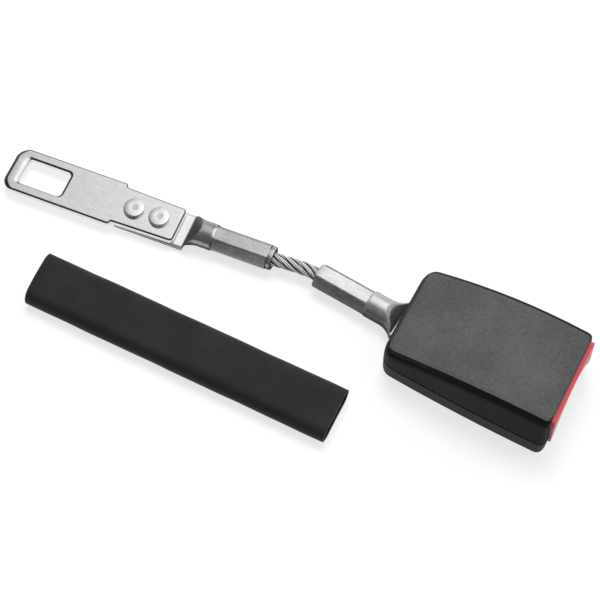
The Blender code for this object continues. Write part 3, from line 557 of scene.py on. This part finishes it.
def terminal_mesh(lip, crimp, barrel, slope, length, half, z0, z1, turn, soft):
    """A terminal along its own +X from the rope end, with an open mouth round the rope.

    lip, crimp, barrel and slope are the lengths of its parts and length that of the whole. half is half
    the tab's width, z0 and z1 are its faces, turn is how the crimp lies, and soft rounds the flare.
    """
    z0 -= AXIS_Z
    z1 -= AXIS_Z
    rings = []

    def put(x, ring, share=1.0):
        rings.append([(x, y * share, z * share + AXIS_Z) for y, z in ring])

    mouth = ROPE_R + MOUTH_GAP
    put(MOUTH_DEPTH, round_ring(mouth, turn))
    put(0.0004, round_ring(mouth, turn))
    put(0.0001, round_ring(mouth + MOUTH_EDGE, turn))
    if lip > 0:
        face = LIP_R - LIP_ROLL
        put(0.0, round_ring(face, turn))
        for back, out in quarter(5):
            put(LIP_ROLL * back, round_ring(face + LIP_ROLL * out, turn))
        put(lip - 0.0003, round_ring(LIP_R, turn))
        put(lip - 0.0001, round_ring(LIP_R - 0.0002, turn))
        shoulder = ((0.0, 0.97), (0.0002, 1.0))
    else:
        shoulder = ((0.0, 0.86), (0.0002, 0.93), (0.0005, 0.98), (0.0009, 1.0))
    for x, share in shoulder:
        put(lip + x, crimped_ring(turn), share)
    crimp_end = lip + crimp
    for k in range(1, CRIMP_STEPS):
        put(lip + crimp * k / CRIMP_STEPS, crimped_ring(turn))
    for k in range(1, CRIMP_STEPS + 1):
        share = k / CRIMP_STEPS
        put(crimp_end - RUN_OUT * (1 - share), crimped_ring(turn, (TUBE_R - HEX_FLATS / 2) * share))
    press = crimp_end + barrel
    put(crimp_end + 0.0001, round_ring(TUBE_R, turn))
    put(press, round_ring(TUBE_R, turn))
    for k in range(1, PRESS_STEPS + 1):
        share = k / PRESS_STEPS
        put(press + slope * share, pressed_ring(share, turn, half, z0, z1, soft))
    tab = press + slope
    for k in range(1, TAB_STEPS + 1):
        put(tab + (length - 0.0012 - tab) * k / TAB_STEPS, flat_ring(half, z0, z1, SEAM))
    for back, side, face, seam in ((0.0004, 0.0003, 0.0001, SEAM), (0.0, 0.0009, 0.0003, 0.0004)):
        put(length - back, flat_ring(half - side, z0 + face, z1 - face, seam))
    return loft(rings)


made(
    "tongue_terminal_steel",
    settle(
        terminal_mesh(
            lip=0.0022, crimp=0.0255, barrel=0.0053, slope=0.0072, length=0.0722, half=0.0088,
            z0=0.0002, z1=0.0030, turn=math.radians(-2.0), soft=0.0004,
        ),
        TONGUE_TUBE_AT, BACK_TURN + math.pi,
    ),
    TONGUE_TUBE, "tongue_end", "tube_steel", "tongue_terminal", angle=24.0,
)
made(
    "buckle_terminal_steel",
    settle(
        terminal_mesh(
            lip=0.0, crimp=0.0259, barrel=0.0071, slope=0.0075, length=0.0583, half=0.0096,
            z0=0.0049, z1=0.0081, turn=0.0, soft=0.0014,
        ),
        BUCKLE_TUBE_AT, ANCHOR_TURN,
    ),
    BUCKLE_TUBE, "buckle", "tube_steel", "buckle_terminal", angle=24.0,
)


# Wire rope.

ROPE_HIDDEN = 0.0055    # how far the wires run into each terminal's mouth
ROPE_STEPS = 84
STRANDS = 6
WIRES = 5               # in each strand
WIRE_R = 0.00037
WIRE_SIDES = 10
STRAND_R = 0.00069      # from a strand's axis to its wires' axes
STRAND_LAY = ROPE_LAY * 1.3
CORE_R = 0.0021
CORE_STEPS = 20
CORE_SIDES = 16


def rope_point(s):
    """Point and heading at a run s along the rope, 0 at the tongue's terminal."""
    if s <= 0:
        return Vector(along(TONGUE_TUBE_AT, BACK_TURN, s)), BACK_TURN
    if s >= ROPE_SPAN:
        return Vector(along(BUCKLE_TUBE_AT, ANCHOR_TURN, s - ROPE_SPAN)), ANCHOR_TURN
    # One cubic curve that leaves both terminals straight.
    t = s / ROPE_SPAN
    p0, p1 = Vector(TONGUE_TUBE_AT), Vector(BUCKLE_TUBE_AT)
    d0 = Vector((math.cos(BACK_TURN), math.sin(BACK_TURN))) * ROPE_SPAN
    d1 = Vector((math.cos(ANCHOR_TURN), math.sin(ANCHOR_TURN))) * ROPE_SPAN
    p = (
        p0 * (2 * t**3 - 3 * t**2 + 1) + d0 * (t**3 - 2 * t**2 + t)
        + p1 * (3 * t**2 - 2 * t**3) + d1 * (t**3 - t**2)
    )
    d = (p0 - p1) * (6 * t**2 - 6 * t) + d0 * (3 * t**2 - 4 * t + 1) + d1 * (3 * t**2 - 2 * t)
    return p, math.atan2(d.y, d.x)


def wire_point(s, strand, wire, share=1.0):
    """Centre of a wire at a run s; with share 0, of its strand."""
    p, turn = rope_point(s)
    run = s + ROPE_GRIP
    lay_r = ROPE_R - STRAND_R - WIRE_R + 0.00004
    a = 2 * math.pi * (strand / STRANDS + run / ROPE_LAY)
    b = 2 * math.pi * (wire / WIRES + run / STRAND_LAY) + a
    aside = lay_r * math.cos(a) + STRAND_R * math.cos(b) * share
    up = lay_r * math.sin(a) + STRAND_R * math.sin(b) * share
    x, y = along(p, turn, 0.0, aside)
    return Vector((x, y, AXIS_Z + up))


def rope_mesh():
    """Six outer strands of wires laid right-handed about a core.

    reach is 1 on the outside of the rope and of each strand, and falls to 0 between the wires.
    """
    bm = bmesh.new()
    reach = []

    def run(k, steps):
        start, end = -ROPE_HIDDEN, ROPE_SPAN + ROPE_HIDDEN
        return start + (end - start) * k / steps

    def close(rows):
        skin(bm, rows)
        bm.faces.new(rows[0])
        bm.faces.new(list(reversed(rows[-1])))

    for strand in range(STRANDS):
        for wire in range(WIRES):
            rows = []
            for k in range(ROPE_STEPS + 1):
                s = run(k, ROPE_STEPS)
                here = wire_point(s, strand, wire)
                ahead = (wire_point(s + 1e-5, strand, wire) - here).normalized()
                up = Vector((0, 0, 1)).cross(ahead).normalized()
                over = ahead.cross(up)
                middle = rope_point(s)[0].to_3d() + Vector((0, 0, AXIS_Z))
                out = (here - wire_point(s, strand, wire, 0.0)).normalized()
                row = []
                for c, d in circle(WIRE_SIDES):
                    point = here + WIRE_R * (up * c + over * d)
                    row.append(bm.verts.new(point))
                    far = smoothstep(((point - middle).length - 0.0022) / 0.0006)
                    outside = smoothstep(((point - here).normalized().dot(out) + 0.30) / 0.9)
                    reach.append(far * outside)
                rows.append(row)
            close(rows)
    rows = []
    for k in range(CORE_STEPS + 1):
        p, turn = rope_point(run(k, CORE_STEPS))
        ring = []
        for c, d in circle(CORE_SIDES):
            x, y = along(p, turn, 0.0, CORE_R * c)
            ring.append(bm.verts.new((x, y, AXIS_Z + CORE_R * d)))
            reach.append(0.0)
        rows.append(ring)
    close(rows)
    mesh = finished(bm, "rope")
    keep_reach(mesh, reach)
    return mesh


rope = made("wire_rope_strands", rope_mesh(), WIRE, None, "rope_steel", "wire_rope", angle=60.0)
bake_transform(rope)

# Rivets.

RIVET_SIDES = 72
HEAD_R = 0.0047
HEAD_H = 0.0018
HEAD_ROLL = 0.0006
HEAD_FOOT = PLATE_Z1 + 0.00005
SHANK_R = 0.0024
SHANK_END = 0.0002
PUNCH = ((0.0019, 0.0), (0.0016, 0.00002), (0.0013, 0.00005), (0.0010, 0.00007), (0.00006, 0.00007))


def rivet_mesh(at):
    """A formed head on its shank: an upright rim, a rolled edge, a shallow crown and a punch mark.

    reach is the distance from the rivet's axis in millimetres.
    """
    profile = [(SHANK_R, SHANK_END), (SHANK_R, HEAD_FOOT), (HEAD_R - 0.0001, HEAD_FOOT)]
    profile += [(HEAD_R, HEAD_FOOT + 0.0001), (HEAD_R, HEAD_FOOT + HEAD_H * 0.42)]
    for back, rise in quarter(7):
        profile.append((HEAD_R - HEAD_ROLL * back, HEAD_FOOT + HEAD_H * (0.42 + 0.50 * rise)))
    profile.append((HEAD_R * 0.62, HEAD_FOOT + HEAD_H * 0.975))
    profile += [(radius, HEAD_FOOT + HEAD_H - dip) for radius, dip in PUNCH]
    ways = circle(RIVET_SIDES)
    mesh = loft([[(at[0] + radius * c, at[1] + radius * s, z) for c, s in ways] for radius, z in profile])
    keep_reach(mesh, [radius * 1000 for radius, _ in profile for _ in ways])
    return mesh


for name, s in (("front", 0.0600), ("rear", 0.0718)):
    made(
        f"tongue_rivet_{name}_head", rivet_mesh(along(TONGUE_TIP_AT, BACK_TURN, s)),
        HEAD, "tongue_end", "rivet_steel", f"tongue_rivet_{name}", angle=38.0, even=True,
    )


# Tongue plate.

CORNER_STEPS = 12
PLATE_FOOT = 0.0003     # the small bevel round the underside
PLATE_ROLL = 0.00085    # radius of the rolled upper edge
PLATE_CORNERS = (       # x from the tip, half width, corner radius
    (0.0, 0.0108, 0.0055), (0.0519, 0.0108, 0.0012), (0.0527, 0.0091, 0.0007), (0.0812, 0.0084, 0.0018),
)
WINDOW = (0.0063, 0.0270, 0.0064, 0.0020)   # front, rear, half width, corner radius
# Each row: how far in or out from the outline, and how far below the upper face.
LEAD_IN = (
    (0.0, 0.00120), (0.00012, 0.00090), (0.00034, 0.00068),
    (0.00100, 0.00034), (0.00160, 0.00007), (0.00185, 0.0),
)
TIP_RIM = ((0.00014, 0.00078), (0.00042, 0.00056), (0.00110, 0.00030), (0.00165, 0.00008), (0.00185, 0.0))
REAR_RIM = ((0.00005, 0.00060), (0.00015, 0.00048), (0.00065, 0.00025), (0.00108, 0.00006), (0.00120, 0.0))
SIDE_RIM = ((0.00004, 0.00074), (0.00016, 0.00062), (0.00046, 0.00030), (0.00068, 0.00006), (0.00076, 0.0))


def rounded(corners):
    """An outline through corners (x, y, radius), anticlockwise, each rounded by its radius."""
    out = []
    points = [Vector((x, y)) for x, y, _ in corners]
    for i, (p, (_, _, radius)) in enumerate(zip(points, corners)):
        before = (points[i - 1] - p).normalized()
        after = (points[(i + 1) % len(points)] - p).normalized()
        half = before.angle(after) / 2
        centre = p + (before + after).normalized() * (radius / math.sin(half))
        start = p + before * (radius / math.tan(half)) - centre
        end = p + after * (radius / math.tan(half)) - centre
        turn = math.atan2(start.x * end.y - start.y * end.x, start.dot(end))
        for k in range(CORNER_STEPS + 1):
            c, s = math.cos(turn * k / CORNER_STEPS), math.sin(turn * k / CORNER_STEPS)
            out.append((centre.x + c * start.x - s * start.y, centre.y + s * start.x + c * start.y))
    return out


def inset(points, steps):
    """An anticlockwise outline moved inwards, by one distance for each point."""
    out = []
    for i, step in enumerate(steps):
        a = Vector(points[i - 1])
        b = Vector(points[i])
        c = Vector(points[(i + 1) % len(points)])
        n1 = Vector((-(b - a).y, (b - a).x)).normalized()
        n2 = Vector((-(c - b).y, (c - b).x)).normalized()
        n = n1 + n2
        n = n / max(n.dot(n1), 0.3)
        out.append(tuple(b + n * step))
    return out


def plate_mesh():
    """The tongue with rolled edges and a coined rim round its window.

    reach is 1 on the outer edge, for painted shade all round, and marks the window's rim
    for painted shade at its rear and sides but not at the tip.
    """
    near_side = [(x, -y, r) for x, y, r in PLATE_CORNERS]
    outer = rounded(near_side + list(reversed(PLATE_CORNERS)))
    front, rear, wide, corner = WINDOW
    hole = rounded([(x, y, corner) for x, y in ((front, -wide), (rear, -wide), (rear, wide), (front, wide))])
    bm = bmesh.new()

    def row(outline, step, z):
        count = len(outline)
        steps = step if isinstance(step, list) else [step] * count
        heights = z if isinstance(z, list) else [z] * count
        return [bm.verts.new((x, y, h)) for (x, y), h in zip(inset(outline, steps), heights)]

    # The long edges are rolled; the tip has a flatter and wider lead-in.
    at_tip = [1 - smoothstep((x - 0.0012) / 0.0050) for x, _ in outer]
    outer_rows = [row(outer, PLATE_FOOT, PLATE_Z0), row(outer, 0.0, PLATE_Z0 + PLATE_FOOT)]
    for (back, rise), (far, drop) in zip([(0.0, 0.0)] + quarter(len(LEAD_IN) - 1), LEAD_IN):
        near, low = PLATE_ROLL * back, PLATE_ROLL * (1 - rise)
        steps = [near + (far - near) * t for t in at_tip]
        outer_rows.append(row(outer, steps, [PLATE_Z1 - low - (drop - low) * t for t in at_tip]))
    # The rim is coined wide towards the tip, flat at the rear and steep along the sides.
    hole_rows = [
        row(hole, -PLATE_FOOT, PLATE_Z0),
        row(hole, 0.0, PLATE_Z0 + PLATE_FOOT),
        row(hole, 0.0, PLATE_Z1 - 0.0011),
    ]
    reach = [1.0] * (len(outer_rows) * len(outer)) + [0.0] * (len(hole_rows) * len(hole))
    for rims in zip(TIP_RIM, REAR_RIM, SIDE_RIM):
        steps, heights = [], []
        for x, _ in hole:
            tip = 1 - smoothstep((x - front) / 0.0020)
            back = smoothstep((x - (rear - 0.0020)) / 0.0020)
            shares = (tip, back, 1 - tip - back)
            steps.append(-sum(rim[0] * share for rim, share in zip(rims, shares)))
            heights.append(PLATE_Z1 - sum(rim[1] * share for rim, share in zip(rims, shares)))
            reach.append(back + 0.7 * shares[2])
        hole_rows.append(row(hole, steps, heights))
    skin(bm, outer_rows)
    skin(bm, hole_rows)
    for loops in ((outer_rows[-1], hole_rows[-1]), (outer_rows[0], hole_rows[0])):
        edges = []
        for loop in loops:
            for i in range(len(loop)):
                edges.append(bm.edges.get((loop[i], loop[(i + 1) % len(loop)])))
        bmesh.ops.triangle_fill(bm, edges=edges, use_beauty=True, use_dissolve=False)
    mesh = finished(bm, "plate")
    keep_reach(mesh, reach)
    return settle(mesh, TONGUE_TIP_AT, BACK_TURN)


made(
    "tongue_plate_steel", plate_mesh(), PLATE, "tongue_end", "tongue_steel", "tongue_plate",
    angle=34.0, even=True,
)


# Cover sleeve.

SLEEVE_HALF = 0.1402 / 2
SLEEVE_WIDTH = 0.0250
SLEEVE_HEIGHT = 0.0094
SLEEVE_WALL = 0.0012
SLEEVE_LIP = 0.0004     # how far before its ends the sleeve's edge begins to round
SLEEVE_STEPS = 28
SIDE_STEPS = 18         # round each side of a section
FLAT_STEPS = 14         # along each of its flats


def sleeve_section(less_wide, less_high, x):
    """The sleeve's section at x, narrower and lower than the whole by two lengths."""
    w, h = SLEEVE_WIDTH - less_wide, SLEEVE_HEIGHT - less_high
    near_end = max(0.0, 1 - (SLEEVE_HALF - abs(x)) / 0.030)
    nip = (0.0005 if x > 0 else 0.0002) * near_end
    radius = h / 2
    run = w / 2 - radius
    ring = []
    for side, start in ((1, -math.pi / 2), (-1, math.pi / 2)):
        for k in range(SIDE_STEPS + 1):
            a = start + math.pi * k / SIDE_STEPS
            crease = abs(math.sin(a)) ** 0.5 if side > 0 else 1.0
            ring.append((side * run + radius * math.cos(a), radius * math.sin(a) * crease))
        for k in range(1, FLAT_STEPS):
            y = side * run * (1 - 2 * k / FLAT_STEPS)
            ring.append((y, (h / 2 - nip * math.cos(math.pi / 2 * y / run) ** 2) * side))
    # The left end is cut askew and pressed flatter on its far side.
    askew = 0.0026 * smoothstep((-x - SLEEVE_HALF + 0.02) / 0.02)
    folded = 0.42 * smoothstep((-x - SLEEVE_HALF + 0.03) / 0.03)
    placed = []
    for y, z in ring:
        z *= 1 - folded * smoothstep((y / SLEEVE_WIDTH + 0.10) / 0.55)
        placed.append((x - askew * (y / SLEEVE_WIDTH + 0.2), y, z + SLEEVE_HEIGHT / 2))
    return placed


def sleeve_mesh():
    """The rubber sleeve: a flattened, slightly wavy tube, nipped in the middle of its ends."""
    edge = SLEEVE_HALF - 0.0001
    bore = 2 * SLEEVE_WALL
    reach = SLEEVE_HALF - SLEEVE_LIP
    xs = [SLEEVE_HALF * (2 * k / SLEEVE_STEPS - 1) for k in range(SLEEVE_STEPS + 1)]
    xs = [min(max(x, -reach), reach) for x in xs]
    rings = [sleeve_section(0.0005, 0.0003, -edge)]
    for x in xs:
        wave = 0.00012 * math.sin(x * 140.0) + 0.00008 * math.sin(x * 310.0 + 1.0)
        rings.append(sleeve_section(0.0002 - wave, 0.0, x))
    rings.append(sleeve_section(0.0005, 0.0003, edge))
    rings.append(sleeve_section(SLEEVE_WALL, SLEEVE_WALL, SLEEVE_HALF))
    rings.append(sleeve_section(bore - 0.0003, bore - 0.0003, edge))
    rings += [sleeve_section(bore, bore, x) for x in reversed(xs)]
    rings.append(sleeve_section(bore - 0.0003, bore - 0.0003, -edge))
    rings.append(sleeve_section(SLEEVE_WALL, SLEEVE_WALL, -SLEEVE_HALF))
    return settle(loft(rings, closed=True), SLEEVE_AT, SLEEVE_TURN)


made("cover_sleeve_rubber", sleeve_mesh(), SLEEVE, "buckle", "sleeve_rubber", "cover_sleeve", angle=50.0)

# Springs.

SPRING_WIRE_R = 0.00025
COIL_STEPS = 28
COIL_SIDES = 10


def spring_mesh(start, end, coil_r, turns):
    """A compression spring with a closed coil at each end."""
    start, end = Vector(start), Vector(end)
    axis = (end - start).normalized()
    side = axis.orthogonal().normalized()
    other = axis.cross(side)
    run = (end - start).length - 2 * SPRING_WIRE_R
    closed = 2 * SPRING_WIRE_R
    rings = []
    for k in range(turns * COIL_STEPS + 1):
        turn = k / COIL_STEPS
        if turn < 1:
            rise = closed * turn
        elif turn > turns - 1:
            rise = run - closed * (turns - turn)
        else:
            rise = closed + (run - 2 * closed) * (turn - 1) / (turns - 2)
        out = side * math.cos(2 * math.pi * turn) + other * math.sin(2 * math.pi * turn)
        point = start + axis * (SPRING_WIRE_R + rise) + out * coil_r
        rings.append([point + (out * c + axis * s) * SPRING_WIRE_R for c, s in circle(COIL_SIDES)])
    return loft(rings)


def spring(name, start, end, coil_r, turns):
    """A spring in place of its node."""
    mesh = spring_mesh(start, end, coil_r, turns)
    obj = made(f"{name}_coil", mesh, SPRING, "buckle", "spring_steel", name, angle=60.0)
    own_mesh(obj)


for name, joint, travel in (
    ("button_spring_left", "button_press", 0.0050),
    ("button_spring_right", "button_press", 0.0050),
    ("ejector_spring", "ejector_push", 0.0068),
):
    low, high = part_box(name)
    y, z = (low[1] + high[1]) / 2, (low[2] + high[2]) / 2
    coil_r = (high[1] - low[1]) / 2 - SPRING_WIRE_R
    spring(name, (low[0], y, z), (high[0], y, z), coil_r, 9)
low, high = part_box("latch_spring")
x, y = (low[0] + high[0]) / 2, (low[1] + high[1]) / 2
coil_r = (high[1] - low[1]) / 2 - SPRING_WIRE_R
spring("latch_spring", (x, y, high[2]), (x, y, low[2]), coil_r, 5)

# Nodes that keep their CAD shape.

for name, mat, width in (
    ("upper_cover", CASE_TOP, 0.00035),
    ("lower_cover", CASE_LOW, 0.00030),
    ("release_button", BUTTON, 0.00040),
    ("buckle_frame", SHEET, 0.00020),
    ("latch", SHEET, 0.00020),
    ("latch_pivot_pin", RIVET, 0.00020),
    ("anchor_rivet", RIVET, 0.00015),
    ("ejector", EJECT, 0.00030),
):
    obj = nodes[name]
    if not obj.material_slots:
        obj.data.materials.append(mat)
    for slot in obj.material_slots:
        slot.material = mat
    bevel = obj.modifiers.new("edges", "BEVEL")
    bevel.width = width
    bevel.segments = 3
    bevel.limit_method = "ANGLE"
    bevel.angle_limit = math.radians(40)

# Floor.

FLOOR_R = 40.0
FLOOR_Z = -0.0002
FLOOR_GLOW = 0.73

bm = bmesh.new()
bmesh.ops.create_circle(bm, cap_ends=True, segments=96, radius=FLOOR_R)
floor_mesh = bpy.data.meshes.new("floor")
bm.to_mesh(floor_mesh)
bm.free()
floor = bpy.data.objects.new("floor", floor_mesh)
floor.location = (-0.08, 0.0, FLOOR_Z)
scene.collection.objects.link(floor)
paper = Paint("paper")
paper_tone = paper.mix(paper.span(paper.noise(3.0), 0.3, 0.7), (0.27, 0.27, 0.27), (0.29, 0.29, 0.29))
paper.end(paper_tone, 0.9, Specular_IOR_Level=0.0)
# The floor's own white is seen by the camera and in reflections and lights nothing else.
rays = paper.node("ShaderNodeLightPath")
seen = paper.math("MAXIMUM", rays.outputs["Is Camera Ray"], rays.outputs["Is Glossy Ray"])
seen = paper.math("MAXIMUM", seen, rays.outputs["Is Transmission Ray"])
paper.shader.inputs["Emission Color"].default_value = (1.0, 1.0, 1.0, 1.0)
paper.feed(paper.shader.inputs["Emission Strength"], paper.math("MULTIPLY", seen, FLOOR_GLOW))
floor_mesh.materials.append(paper.mat)

# Light.

world = bpy.data.worlds.new("studio")
scene.world = world
world.use_nodes = True
sky = Nodes(world.node_tree)


def glow(direction, start, full, low, high):
    """A soft patch of sky, from low outside it to high at its middle."""
    patch = sky.node("ShaderNodeVectorMath", operation="DOT_PRODUCT")
    sky.feed(patch.inputs[0], sky.coordinate("Generated"))
    patch.inputs[1].default_value = direction
    return sky.span(patch.outputs["Value"], start, full, low, high, "SMOOTHSTEP")


# A bright patch overhead, and the far low sky dim against the near dark one, which edges the steel.
overhead = glow(Vector((0.30, 0.42, 0.86)).normalized(), 0.55, 0.95, 0.09, 1.16)
far_side = glow(Vector((-0.47, 0.88, 0.0)), 0.0, 0.85, 0.0, 0.26)
background = world.node_tree.nodes["Background"]
sky.feed(background.inputs["Color"], sky.math("ADD", overhead, far_side))
background.inputs["Strength"].default_value = 1.0

softbox_data = bpy.data.lights.new("softbox", "AREA")
softbox_data.shape = "DISK"
softbox_data.size = 0.55
softbox_data.energy = 9.0
softbox = bpy.data.objects.new("softbox", softbox_data)
softbox.location = (-0.25, 0.40, 1.10)
softbox.visible_glossy = False
softbox.rotation_euler = (Vector((-0.09, 0.0, 0.0)) - softbox.location).to_track_quat("-Z", "Y").to_euler()
scene.collection.objects.link(softbox)
